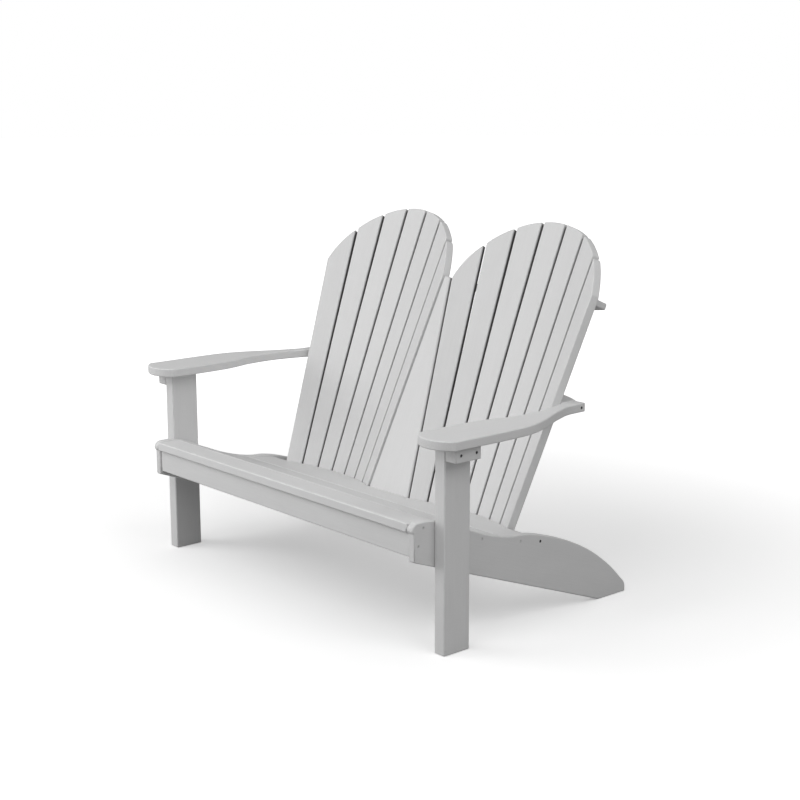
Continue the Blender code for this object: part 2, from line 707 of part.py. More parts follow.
def make_slat(name, place, frame, material):
    """One tapered slat, longer than it ends up, with its face through its two points on the fan's arcs."""
    lower = Fan.face_point(place, False)
    upper = Fan.face_point(place, True)
    up = (upper - lower).normalized()
    turn = (Fan.slat_angle(place, False) + Fan.slat_angle(place, True)) / 2
    across = Vector((math.cos(turn), -math.sin(turn), 0))
    across = (across - up * across.dot(up)).normalized()
    front = across.cross(up)
    length = (upper - lower).length
    top = ARCH_RISE + Fan.arch_radius() + OVERRUN
    bottom = (-FAN_TAIL - lower.z) / up.z
    outline = []
    for along, edge in ((bottom, -1), (bottom, 1), (top, 1), (top, -1)):
        half = Fan.slat_width(along * FAN_RISE / length) / 2
        outline.append((edge * half, along))
    mesh = outline_mesh(name, outline, SLAT_THICKNESS)
    middle = lower - front * SLAT_THICKNESS / 2
    matrix = Matrix.Translation(middle) @ Matrix((across, up, front)).transposed().to_4x4()
    slat = new_part(name, mesh, matrix, material, frame, eased=False)
    arch = make_arch_cutter(name + "_arch", lower, across, up, frame.matrix_basis @ matrix)
    boolean(slat, "DIFFERENCE", arch)
    ease_edges(slat)


def make_wedge(parent):
    mesh = outline_mesh("back_wedge", Wedge.outline(Wedge.BOTTOM, WEDGE_TOP_HEIGHT, 0), SLAT_THICKNESS)
    new_part("back_wedge", mesh, Wedge.plane(SLAT_THICKNESS / 2), lumber("wedge_plastic"), parent)


def rail_outline(half_length, front_y, rear_of):
    """Plan of a rail: a straight front, and a rear edge that keeps the rail's depth behind both fans."""
    points = [(half_length, front_y), (-half_length, front_y)]
    for step in range(RAIL_STEPS + 1):
        x = half_length * (2 * step / RAIL_STEPS - 1)
        points.append((x, rear_of(abs(x) - FAN_SPACING / 2)))
    return points


def cut_rail(rail):
    for side in SIDES:
        boolean(rail, "DIFFERENCE", CUTS["fan_back_" + side])
    boolean(rail, "DIFFERENCE", CUTS["wedge_slot"])


def make_arm_rail(parent):
    """The level rail between the arms. Its front edge is hollowed out for the fans and the wedge."""
    front_y = Wedge.face_y(ARM_TOP) + TOUCH_GAP

    def rear_of(across):
        return max(Fan.back_y_level(across, ARM_MIDDLE, ARM_RAIL_DEPTH), front_y + ARM_RAIL_DEPTH)

    mesh = outline_mesh("arm_rail", rail_outline(ARM_TAIL_X - TOUCH_GAP, front_y, rear_of), ARM_THICKNESS)
    matrix = Matrix.Translation((0, 0, ARM_MIDDLE))
    rail = new_part("arm_rail", mesh, matrix, lumber("arm_rail_plastic"), parent)
    cut_rail(rail)


class LeaningRail:
    """A rail square to the middle slats, so it is drawn in the fans' leaning frame."""

    def __init__(self, name, half_length, rise, thickness, depth):
        self.name = name
        self.half_length = half_length
        self.rise = rise
        self.thickness = thickness
        self.depth = depth
        lower_y = Fan.edge_at(rise - thickness / 2).y
        upper_y = Fan.edge_at(rise + thickness / 2).y
        self.front_y = max(lower_y, upper_y) + TOUCH_GAP

    def rear_of(self, across):
        return max(Fan.back_y_leaning(across, self.rise, self.depth), self.front_y + self.depth)

    def make(self, parent):
        outline = rail_outline(self.half_length, self.front_y, self.rear_of)
        mesh = outline_mesh(self.name, outline, self.thickness)
        matrix = Fan.FRAME @ Matrix.Translation((0, 0, self.rise))
        rail = new_part(self.name, mesh, matrix, lumber(self.name + "_plastic"), parent)
        cut_rail(rail)

    def end_point(self):
        """Place of a screw in the rail's end, in the bench's side view."""
        back = self.front_y + RAIL_SCREW_SHARE * self.depth
        return (Fan.FRAME @ Vector((0, back, self.rise + RAIL_SCREW_RISE))).yz


def plan_lower_rail():
    half_length = SEAT_LENGTH / 2
    return LeaningRail("lower_rail", half_length, -LOWER_RAIL_DROP, LOWER_RAIL_THICKNESS, LOWER_RAIL_DEPTH)


def plan_upper_rail():
    half_length = FAN_SPACING / 2 + Fan.edge_at(UPPER_RAIL_RISE).x + UPPER_RAIL_OVERHANG
    return LeaningRail("upper_rail", half_length, UPPER_RAIL_RISE, UPPER_RAIL_THICKNESS, UPPER_RAIL_DEPTH)


def turned_mesh(name, length, gap):
    """A screw along +Z with its head at the origin, or with a gap the hole that it sits in."""
    head_radius = SCREW_HEAD_RADIUS + gap
    shank_radius = SCREW_SHANK_RADIUS + gap
    head_start = -SCREW_RECESS - OVERRUN if gap else 0
    head_end = SCREW_HEAD_HEIGHT + gap
    profile = [
        (0, length + gap),
        (shank_radius, length + gap),
        (shank_radius, head_end),
        (head_radius, head_end),
        (head_radius, head_start),
        (0, head_start),
    ]
    outline = bpy.data.meshes.new(name + "_profile")
    verts = [(radius, 0, along) for radius, along in profile]
    outline.from_pydata(verts, [(step, step + 1) for step in range(len(verts) - 1)], [])
    guide = bpy.data.objects.new(name + "_profile", outline)
    bpy.context.scene.collection.objects.link(guide)
    turning = guide.modifiers.new("turning", "SCREW")
    turning.steps = turning.render_steps = SCREW_SIDES
    turning.use_merge_vertices = True
    turning.merge_threshold = TOUCH_GAP / 10
    mesh = bpy.data.meshes.new_from_object(guide.evaluated_get(bpy.context.evaluated_depsgraph_get()))
    bpy.data.objects.remove(guide, do_unlink=True)
    mesh.name = name
    mesh.shade_smooth()
    mesh.set_sharp_from_angle(angle=math.radians(40))
    return mesh


def make_screw(name, parent, point, inwards, depth, boards):
    """A screw along X, from a point of a face inwards (-1 or 1), through the first board's depth."""
    length = depth + SCREW_BITE - SCREW_RECESS
    turn = Matrix.Rotation(inwards * math.radians(90), 4, "Y")
    place = Matrix.Translation((point[0] + inwards * SCREW_RECESS, point[1], point[2])) @ turn
    hole = new_cutter(name + "_hole", turned_mesh(name + "_hole", length, TOUCH_GAP), place)
    for board in boards:
        boolean(bpy.data.objects[board], "DIFFERENCE", hole)
    steel = bpy.data.materials["screw_steel"]
    new_part(name, turned_mesh(name, length, 0), place, steel, parent, eased=False)


def plan_stringer_screws(boards):
    """Each screw's place in the side view, and the board that it holds to the stringers."""
    front, _, third, rear = boards
    front_share, third_share, rear_share = SEAT_SCREW_SHARES
    depth_share, height_share = APRON_SCREW_SHARES
    apron_y = APRON_FRONT_Y + depth_share * APRON_THICKNESS
    apron_z = apron_top(boards) - (1 - height_share) * APRON_HEIGHT
    rear_width = (Wedge.face_y(rear.start.y) - rear.start.x) / (rear.end.x - rear.start.x)
    return {
        "front": (front.screw_point(front_share), "seat_board_front"),
        "apron": (Vector((apron_y, apron_z)), "apron"),
        "third": (third.screw_point(third_share), "seat_board_third"),
        "rear": (rear.screw_point(rear_share * rear_width), "seat_board_rear"),
        "rail": (plan_lower_rail().end_point(), "lower_rail"),
    }


def make_stringer_screws(parent, boards, side, sign):
    for place, (middle, board) in plan_stringer_screws(boards).items():
        point = (sign * STRINGER_OUTER_X, *middle)
        held = ("stringer_" + side, board)
        make_screw(f"stringer_screw_{place}_{side}", parent, point, -sign, STRINGER_THICKNESS, held)


def make_block_screws(parent, side, sign):
    face_x = sign * (LEG_OUTER_X + TOUCH_GAP + BLOCK_THICKNESS)
    for number, share in enumerate(BLOCK_SCREW_SHARES, start=1):
        point = (face_x, LEG_FRONT_Y + share * BLOCK_DEPTH, LEG_HEIGHT - BLOCK_HEIGHT / 2)
        held = ("arm_block_" + side, "leg_" + side)
        make_screw(f"block_screw_{number}_{side}", parent, point, -sign, BLOCK_THICKNESS, held)


def make_arm_screw(parent, side, sign):
    outer_x = ARM_INNER_X + ARM_OUTER_SHARES[-1][1] * ARM_WIDTH
    point = (sign * outer_x, ARM_CORNER_Y + ARM_SCREW_SHARE * ARM_LENGTH, ARM_MIDDLE)
    make_screw("arm_screw_" + side, parent, point, -sign, outer_x - ARM_TAIL_X, ("arm_" + side, "arm_rail"))


def make_leg_screws(parent, side, sign):
    for number, share in enumerate(LEG_SCREW_SHARES, start=1):
        point = (sign * STRINGER_INNER_X, LEG_FRONT_Y + share * LEG_DEPTH, SEAT_NOSE_HEIGHT - LEG_SCREW_DROP)
        held = ("stringer_" + side, "leg_" + side)
        make_screw(f"leg_screw_{number}_{side}", parent, point, sign, STRINGER_THICKNESS, held)


def make_screws(parent, boards):
    new_material("screw_steel", SCREW_GREY, SCREW_ROUGHNESS, 1)
    for side, sign in SIDES.items():
        make_stringer_screws(parent, boards, side, sign)
        make_block_screws(parent, side, sign)
        make_arm_screw(parent, side, sign)
        make_leg_screws(parent, side, sign)


def build():
    bench = new_empty("bench", Matrix.Identity(4), None)
    boards = plan_seat()
    make_cuts()
    make_legs(bench)
    make_arm_blocks(bench)
    make_arms(bench)
    make_stringers(bench)
    make_seat_boards(bench, boards)
    make_apron(bench, boards)
    make_brace(bench, boards)
    make_slats(bench)
    make_wedge(bench)
    plan_lower_rail().make(bench)
    make_arm_rail(bench)
    plan_upper_rail().make(bench)
    make_screws(bench, boards)


clear_scene()
PARTS = new_collection("garden_bench", False)
CUTTERS = new_collection("cutters", True)
CUTS = {}
build()
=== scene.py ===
"""Dresses a two-seat garden bench in plastic lumber and steel screws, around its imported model.

The bench faces -Y, +Z is up and lengths are in metres. Left (-X) and right (+X) are those of a person who looks at its
front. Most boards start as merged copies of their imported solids, whose edges are then rounded. The fans of the backs
and the screws follow rules, so Geometry Nodes make them.
"""

import sys

import logging
import math
import random
from collections.abc import Iterator, Sequence
from dataclasses import dataclass
from enum import Enum

import bmesh
import bpy
from mathutils import Matrix, Vector


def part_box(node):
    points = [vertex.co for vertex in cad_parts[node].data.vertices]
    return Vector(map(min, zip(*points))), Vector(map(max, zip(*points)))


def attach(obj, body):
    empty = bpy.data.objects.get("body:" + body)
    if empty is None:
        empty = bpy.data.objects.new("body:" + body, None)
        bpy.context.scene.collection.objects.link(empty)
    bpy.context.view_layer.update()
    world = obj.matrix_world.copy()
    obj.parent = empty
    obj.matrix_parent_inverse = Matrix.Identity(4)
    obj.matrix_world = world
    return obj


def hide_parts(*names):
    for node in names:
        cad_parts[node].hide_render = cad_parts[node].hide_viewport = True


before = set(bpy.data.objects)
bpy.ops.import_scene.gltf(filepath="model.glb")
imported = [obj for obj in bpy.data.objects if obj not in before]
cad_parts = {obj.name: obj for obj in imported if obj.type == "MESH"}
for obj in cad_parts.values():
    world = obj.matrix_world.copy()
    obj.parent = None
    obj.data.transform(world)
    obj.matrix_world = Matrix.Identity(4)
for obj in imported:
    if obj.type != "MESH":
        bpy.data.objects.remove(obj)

LOG = logging.getLogger("garden_bench")
BODY = "root"
SEED = 11
Triple = tuple[float, float, float]
SlatNumber = tuple[int, int]  # the fan's number and the slat's, from the left


class Slot(Enum):
    """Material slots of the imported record."""

    FRAME = "frame"
    SEAT = "seat"
    BACK = "back"
    ARM = "arm"
    RAIL = "rail"
    SCREW = "screw"


class Side(Enum):
    """The two ends of the bench, with the sign of their X."""

    LEFT = -1
    RIGHT = 1

    @property
    def word(self) -> str:
        """The side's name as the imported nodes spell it."""
        return self.name.lower()


class Mark(Enum):
    """Attributes that a mesh carries for its material or for a tree of nodes."""

    PLACE = "board_place"  # metres along the grain, across it and through the board
    EDGE = "edge"  # 1 on the rounded edges
    SAWN = "sawn"  # 1 where the saw cut across the grain
    SCREW_PLACE = "screw_place"  # metres from the middle of a screw's head
    PAINT = "paint"  # 1 on the screws whose heads are painted
    SEAM = "seam"  # 1 on the sides of the back's boards that face a board beside them
    DEPTH = "depth"  # 0 at such a board's face and 1 at its back
    COVER = "cover"  # metres down from the top of the board beside it
    FAN = "fan"  # number of the fan, from the left
    SLAT = "slat"  # number of the slat in its fan, from the left
    FACING = "facing"  # the way that a screw's head faces


class Value:
    """A number inside a node tree, on which Python's operators add Math nodes."""

    def __init__(self, graph: "NodeGraph", socket: bpy.types.NodeSocket) -> None:
        """Keeps the socket and the graph that it is in.

        Args:
            graph: The graph that new Math nodes go into.
            socket: The output that holds the number.
        """
        self.graph = graph
        self.socket = socket

    def __add__(self, other: "Value | float") -> "Value":
        """This number plus the other."""
        return self.graph.math("ADD", self, other)

    def __radd__(self, other: float) -> "Value":
        """The other number plus this one."""
        return self.graph.math("ADD", other, self)

    def __sub__(self, other: "Value | float") -> "Value":
        """This number less the other."""
        return self.graph.math("SUBTRACT", self, other)

    def __rsub__(self, other: float) -> "Value":
        """The other number less this one."""
        return self.graph.math("SUBTRACT", other, self)

    def __mul__(self, other: "Value | float") -> "Value":
        """This number times the other."""
        return self.graph.math("MULTIPLY", self, other)

    def __rmul__(self, other: float) -> "Value":
        """The other number times this one."""
        return self.graph.math("MULTIPLY", other, self)

    def __truediv__(self, other: "Value | float") -> "Value":
        """This number over the other."""
        return self.graph.math("DIVIDE", self, other)

    def __neg__(self) -> "Value":
        """This number with its sign turned."""
        return self.graph.math("MULTIPLY", self, -1.0)

    def sine(self) -> "Value":
        """Sine of this angle in radians."""
        return self.graph.math("SINE", self)

    def cosine(self) -> "Value":
        """Cosine of this angle in radians."""
        return self.graph.math("COSINE", self)

    def root(self) -> "Value":
        """Square root of this number."""
        return self.graph.math("SQRT", self)

    def above(self, low: float, high: float) -> "Value":
        """0 below the low number, 1 above the high one, and smooth between them."""
        kind = {"interpolation_type": "SMOOTHSTEP"}
        node = self.graph.add("ShaderNodeMapRange", kind, {"Value": self, "From Min": low, "From Max": high})
        return Value(self.graph, node.outputs["Result"])


class NodeGraph:
    """A node tree that is built with short calls."""

    def __init__(self, tree: bpy.types.NodeTree) -> None:
        """Keeps the tree that the nodes go into."""
        self.tree = tree

    def add(
        self,
        kind: str,
        settings: dict[str, object] | None = None,
        inputs: dict[int | str, object] | None = None,
    ) -> bpy.types.Node:
        """Adds one node.

        Args:
            kind: The node's type, as Blender spells it.
            settings: The node's own settings, which are set first.
            inputs: What goes into its sockets, by name or index: a Value, another node's output, or a plain value.

        Returns:
            The new node.
        """
        node = self.tree.nodes.new(kind)
        for name, setting in (settings or {}).items():
            setattr(node, name, setting)
        for key, given in (inputs or {}).items():
            self.supply(node.inputs[key], given)
        return node

    def supply(self, socket: bpy.types.NodeSocket, given: object) -> None:
        """Links a Value or another node's output to a socket, or sets the socket to a plain value."""
        source = given.socket if isinstance(given, Value) else given
        if isinstance(source, bpy.types.NodeSocket):
            self.tree.links.new(source, socket)
        else:
            socket.default_value = source

    def math(self, operation: str, *operands: Value | float) -> Value:
        """Adds one Math node.

        Args:
            operation: What it works out, as Blender spells it.
            operands: Its inputs, in order.

        Returns:
            The result.
        """
        node = self.add("ShaderNodeMath", {"operation": operation}, dict(enumerate(operands)))
        return Value(self, node.outputs[0])

    def joined(self, x: Value, y: Value, z: Value) -> bpy.types.NodeSocket:
        """The vector of three numbers."""
        return self.add("ShaderNodeCombineXYZ", None, {0: x, 1: y, 2: z}).outputs[0]

    def parts(self, vector: bpy.types.NodeSocket) -> tuple[Value, Value, Value]:
        """The three numbers of a vector."""
        split = self.add("ShaderNodeSeparateXYZ", None, {0: vector})
        return Value(self, split.outputs[0]), Value(self, split.outputs[1]), Value(self, split.outputs[2])


class ShapeGraph(NodeGraph):
    """A Geometry Nodes tree with named inputs."""

    def __init__(self, name: str) -> None:
        """Makes an empty tree of this name, with one geometry output."""
        super().__init__(bpy.data.node_groups.new(name, "GeometryNodeTree"))
        self.tree.interface.new_socket(name="Geometry", in_out="OUTPUT", socket_type="NodeSocketGeometry")
        self.entry = self.tree.nodes.new("NodeGroupInput")
        self.exit = self.tree.nodes.new("NodeGroupOutput")
        self.settings: dict[str, object] = {}

    def input(self, name: str, kind: str, setting: object) -> Value:
        """Adds a named input.

        Args:
            name: The input's name.
            kind: Its socket type, such as Float, Int, Vector, Object, Material or Geometry.
            setting: What the modifier gives it, or None where the modifier gives it nothing.

        Returns:
            The input's value inside the tree.
        """
        item = self.tree.interface.new_socket(name=name, in_out="INPUT", socket_type="NodeSocket" + kind)
        if setting is not None:
            self.settings[item.identifier] = setting
        return Value(self, self.entry.outputs[name])

    def named(self, mark: Mark, kind: str) -> bpy.types.NodeSocket:
        """Reads an attribute of this kind, such as INT or FLOAT_VECTOR."""
        node = self.add("GeometryNodeInputNamedAttribute", {"data_type": kind}, {"Name": mark.value})
        return node.outputs["Attribute"]

    def number(self, instances: bpy.types.NodeSocket, mark: Mark) -> bpy.types.NodeSocket:
        """Stores each instance's number as an attribute."""
        index = self.add("GeometryNodeInputIndex").outputs[0]
        kept = {"data_type": "INT", "domain": "INSTANCE"}
        given = {"Geometry": instances, "Name": mark.value, "Value": index}
        return self.add("GeometryNodeStoreNamedAttribute", kept, given).outputs[0]

    def end(self, shape: bpy.types.NodeSocket, material: bpy.types.Material) -> None:
        """Ends the tree: real faces, with their material."""
        real = self.add("GeometryNodeRealizeInstances", None, {0: shape}).outputs[0]
        painted = self.add("GeometryNodeSetMaterial", None, {"Geometry": real, "Material": material}).outputs[0]
        self.tree.links.new(painted, self.exit.inputs[0])

    def apply_to(self, piece: bpy.types.Object) -> None:
        """Gives the piece this tree as a modifier, with its inputs set by identifier."""
        modifier = piece.modifiers.new(self.tree.name, "NODES")
        modifier.node_group = self.tree
        for identifier, setting in self.settings.items():
            modifier[identifier] = setting


class FinishGraph(NodeGraph):
    """The nodes of one material, around its main shader."""

    def __init__(self, name: str, colour: Triple) -> None:
        """Makes a material of this name, which a plain view shows in this colour."""
        self.made = bpy.data.materials.new(name)
        self.made.use_nodes = True
        self.made.diffuse_color = (*colour, 1.0)
        super().__init__(self.made.node_tree)

    def place(self, mark: Mark) -> bpy.types.NodeSocket:
        """The vector that the mesh carries as this attribute."""
        return self.add("ShaderNodeAttribute", {"attribute_name": mark.value}).outputs["Vector"]

    def amount(self, mark: Mark) -> Value:
        """The number that the mesh carries as this attribute."""
        return Value(self, self.add("ShaderNodeAttribute", {"attribute_name": mark.value}).outputs["Fac"])

    def noise(self, place: bpy.types.NodeSocket, stretch: Triple, detail: float) -> Value:
        """Noise from 0 to 1, mostly near 0.5.

        Args:
            place: The place on the piece.
            stretch: Noise cells in a metre along each of its axes.
            detail: How many finer layers the noise has.

        Returns:
            The noise.
        """
        spread = self.add("ShaderNodeVectorMath", {"operation": "MULTIPLY"}, {0: place, 1: stretch}).outputs[0]
        node = self.add("ShaderNodeTexNoise", None, {"Vector": spread, "Scale": 1.0, "Detail": detail})
        return Value(self, node.outputs[0])

    def mix(self, share: Value, first: object, second: object) -> bpy.types.NodeSocket:
        """The first colour, and as much of the second one as the share says."""
        given = [end if isinstance(end, bpy.types.NodeSocket) else (*end, 1.0) for end in (first, second)]
        return self.add("ShaderNodeMix", {"data_type": "RGBA"}, {0: share, 6: given[0], 7: given[1]}).outputs[2]

    def bump(self, strength: float, distance: float, height: Value) -> bpy.types.NodeSocket:
        """A normal that is tipped by a relief."""
        given = {"Strength": strength, "Distance": distance, "Height": height}
        return self.add("ShaderNodeBump", None, given).outputs[0]

    def feed(self, inputs: dict[str, object]) -> bpy.types.Material:
        """Gives the main shader these inputs, by name, and returns the finished material."""
        shader = self.tree.nodes["Principled BSDF"]
        for name, given in inputs.items():
            self.supply(shader.inputs[name], given)
        return self.made


@dataclass(frozen=True)
class LumberFinish:
    """Grey plastic lumber: faint grain along the board, small pits, sawn ends, rubbed edges with a painted highlight,
    and painted shade deep in the seams.
    """

    name: str
    colour: Triple = (0.700, 0.700, 0.700)
    roughness: float = 0.52
    contrast: float = 0.13
    grain: float = 0.24
    mottle: float = 0.26
    # lightens patches of the rounded edges: rubbed wear together with a painted highlight
    wear: float = 0.25
    soil: float = 0.92  # how much painted shade darkens the board deep in a seam, where little light gets in
    soil_colour: Triple = (0.05, 0.05, 0.05)

    def material(self) -> bpy.types.Material:
        """Builds the finish.

        Returns:
            A new material.
        """
        graph = FinishGraph(self.name, self.colour)
        place = graph.place(Mark.PLACE)
        sawn = graph.amount(Mark.SAWN)
        streaks = graph.noise(place, (7.0, 260.0, 260.0), 4.0)
        fibres = graph.noise(place, (60.0, 1500.0, 1500.0), 2.0)
        clouds = graph.noise(place, (9.0, 26.0, 26.0), 3.0)
        pits = graph.noise(place, (700.0, 1400.0, 1400.0), 1.0).above(0.66, 0.74)
        kerf = graph.noise(place, (900.0, 70.0, 900.0), 2.0)
        # Patches of the rounded edges turn lighter and smoother: partly real rubbing, partly a painted highlight along
        # the edges.
        rubbed_and_highlit = graph.amount(Mark.EDGE) * graph.noise(place, (30.0, 120.0, 120.0), 2.0).above(0.40, 0.62)

        tone = 0.5 + (streaks - 0.5) * self.grain + (clouds - 0.5) * self.mottle + (fibres - 0.5) * 0.25
        tone = tone + (kerf - 0.5) * sawn * 0.9 - sawn * 0.12 - pits * 0.35 + rubbed_and_highlit * self.wear
        dark = [part * (1 - self.contrast) for part in self.colour]
        light = [part * (1 + self.contrast) for part in self.colour]
        clean = graph.mix(tone, dark, light)
        # Painted shade: the sides of the back's boards that face a neighbour darken with depth into the seam and below
        # the neighbour's top, standing in for the shadow there.
        depth = graph.amount(Mark.DEPTH)
        inside = depth.above(0.07, 0.40) * (1.0 - depth.above(0.80, 0.98))
        covered = graph.amount(Mark.COVER).above(0.003, 0.009)
        seam_shade_share = graph.amount(Mark.SEAM) * inside * covered * self.soil

        rough = self.roughness + (clouds - 0.5) * 0.16 + (fibres - 0.5) * 0.10 + sawn * 0.16 - rubbed_and_highlit * 0.08
        relief = streaks * 0.45 + fibres * 0.35 - pits * 0.8 + kerf * sawn * 1.2 + clouds * 0.6
        return graph.feed(
            {
                "Base Color": graph.mix(seam_shade_share, clean, self.soil_colour),
                "Roughness": rough,
                "Normal": graph.bump(0.30, 0.00035, relief),
            }
        )


@dataclass(frozen=True)
class SteelFinish:
    """Dark coated steel, turned round the screw's axis and scuffed in patches.

    Some screws are painted like the boards.
    """

    name: str = "screw_steel"
    colour: Triple = (0.10, 0.10, 0.105)
    scuffed: Triple = (0.34, 0.34, 0.35)
    paint: Triple = (0.60, 0.60, 0.60)
    roughness: float = 0.42
    metallic: float = 0.85

    def material(self) -> bpy.types.Material:
        """Builds the finish.

        Returns:
            A new material.
        """
        graph = FinishGraph(self.name, self.colour)
        place = graph.place(Mark.SCREW_PLACE)
        across, along, depth = graph.parts(place)
        radius = (across * across + along * along).root()
        rings = graph.noise(graph.joined(radius, depth, across), (2600.0, 900.0, 120.0), 2.0)
        worn = graph.noise(place, (900.0, 900.0, 900.0), 3.0).above(0.52, 0.70)
        painted = graph.amount(Mark.PAINT)
        return graph.feed(
            {
                "Base Color": graph.mix(painted, graph.mix(worn, self.colour, self.scuffed), self.paint),
                "Metallic": self.metallic - painted * self.metallic,
                "Roughness": self.roughness + (rings - 0.5) * 0.30 - worn * 0.10,
                "Normal": graph.bump(0.4, 0.00005, rings),
            }
        )


def new_object(name: str, content: bpy.types.ID) -> bpy.types.Object:
    """Links a new object of this name to the scene, for a mesh, a lamp or a camera."""
    made = bpy.data.objects.new(name, content)
    bpy.context.scene.collection.objects.link(made)
    return made


def store(mesh: bpy.types.Mesh, mark: Mark, numbers: Sequence[float], domain: str = "POINT") -> None:
    """Stores one number for each part of a mesh.

    Args:
        mesh: The mesh.
        mark: The attribute.
        numbers: The numbers, in the parts' order.
        domain: What kind of part has them: POINT or FACE.
    """
    mesh.attributes.new(mark.value, "FLOAT", domain).data.foreach_set("value", numbers)


def store_vectors(mesh: bpy.types.Mesh, mark: Mark, vectors: Sequence[Sequence[float]]) -> None:
    """Stores one vector for each point of a mesh."""
    parts = [part for vector in vectors for part in vector]
    mesh.attributes.new(mark.value, "FLOAT_VECTOR", "POINT").data.foreach_set("vector", parts)


def settle(piece: bpy.types.Object) -> None:
    """Turns what a piece's modifiers make into its plain mesh."""
    graph = bpy.context.evaluated_depsgraph_get()
    mesh = bpy.data.meshes.new_from_object(piece.evaluated_get(graph), preserve_all_data_layers=True, depsgraph=graph)
    piece.modifiers.clear()
    piece.data = mesh
    mesh.name = piece.name


def soften(piece: bpy.types.Object) -> None:
    """Shades the rounded strips as the curve between the faces beside them."""
    normals = piece.modifiers.new("normals", "WEIGHTED_NORMAL")
    normals.mode = "FACE_AREA"
    normals.weight = 90  # larger faces count for far more than the strips between them
    normals.keep_sharp = False


def declare(piece: bpy.types.Object, slot: Slot, nodes: Sequence[str]) -> None:
    """Puts a finished piece on its body and hides the nodes that it stands for."""
    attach(piece, BODY)
    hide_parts(*nodes)
    LOG.info("%s: %d faces, stands for %s", piece.name, len(piece.data.polygons), ", ".join(nodes))


@dataclass(frozen=True)
class EdgeRounding:
    """How the sharp edges of a board are rounded, and how the rounded strips are told from its faces."""

    width: float = 0.0009
    segments: int = 2
    sharp: float = math.radians(34)
    curve: float = math.radians(20)  # flats that meet at less than this make up one curved face
    smooth: float = math.radians(9)  # the same for the finished mesh, with its rounded strips
    strip: float = 0.0042  # a patch of faces narrower than this is a strip along an edge
    sawn: float = 0.72  # a face is sawn where this much of its normal runs along the grain

    def patches(self, shape: bmesh.types.BMesh, smooth: float) -> Iterator[list[bmesh.types.BMFace]]:
        """Groups of faces that run on smoothly.

        Args:
            shape: The mesh.
            smooth: Largest angle between two faces of a group.

        Yields:
            The faces of one group.
        """
        seen = set()
        for first in shape.faces:
            if first in seen:
                continue
            seen.add(first)
            patch = [first]
            for face in patch:
                for edge in face.edges:
                    if len(edge.link_faces) != 2 or edge.calc_face_angle(math.pi) > smooth:
                        continue
                    for other in edge.link_faces:
                        if other not in seen:
                            seen.add(other)
                            patch.append(other)
            yield patch

    def patch_width(self, patch: list[bmesh.types.BMFace]) -> float:
        """Width of a patch of faces, as if it were one long strip."""
        inside = set(patch)
        rim = sum(
            edge.calc_length() for face in patch for edge in face.edges if not inside.issuperset(edge.link_faces)
        )
        return 2 * sum(face.calc_area() for face in patch) / max(rim, 1e-9)

    def narrow_faces(self, shape: bmesh.types.BMesh, width: float, smooth: float) -> set[bmesh.types.BMFace]:
        """The faces of smooth patches that are narrower than this width."""
        narrow = set()
        for patch in self.patches(shape, smooth):
            if self.patch_width(patch) < width:
                narrow.update(patch)
        return narrow

    def mark(self, mesh: bpy.types.Mesh, grain: Vector) -> None:
        """Marks the rounded edges, and the faces that the saw cut across the grain.

        Args:
            mesh: The finished mesh.
            grain: Direction of the grain.
        """
        shape = bmesh.new()
        shape.from_mesh(mesh)
        strips = self.narrow_faces(shape, self.strip, self.smooth)
        edges = [float(all(face in strips for face in vert.link_faces)) for vert in shape.verts]
        shape.free()
        store(mesh, Mark.EDGE, edges)
        cuts = [float(abs(face.normal.dot(grain)) > self.sawn) for face in mesh.polygons]
        store(mesh, Mark.SAWN, cuts, "FACE")


@dataclass(frozen=True)
class Board:
    """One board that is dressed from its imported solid.

    The name is the node's. The grain runs along the first direction, and the second one stands square to the face.
    """

    name: str
    slot: Slot
    grain: Triple
    face: Triple

    def axes(self) -> tuple[Vector, Vector, Vector]:
        """Directions along the grain, across it and through the board."""
        grain = Vector(self.grain).normalized()
        through = Vector(self.face).normalized()
        return grain, through.cross(grain), through


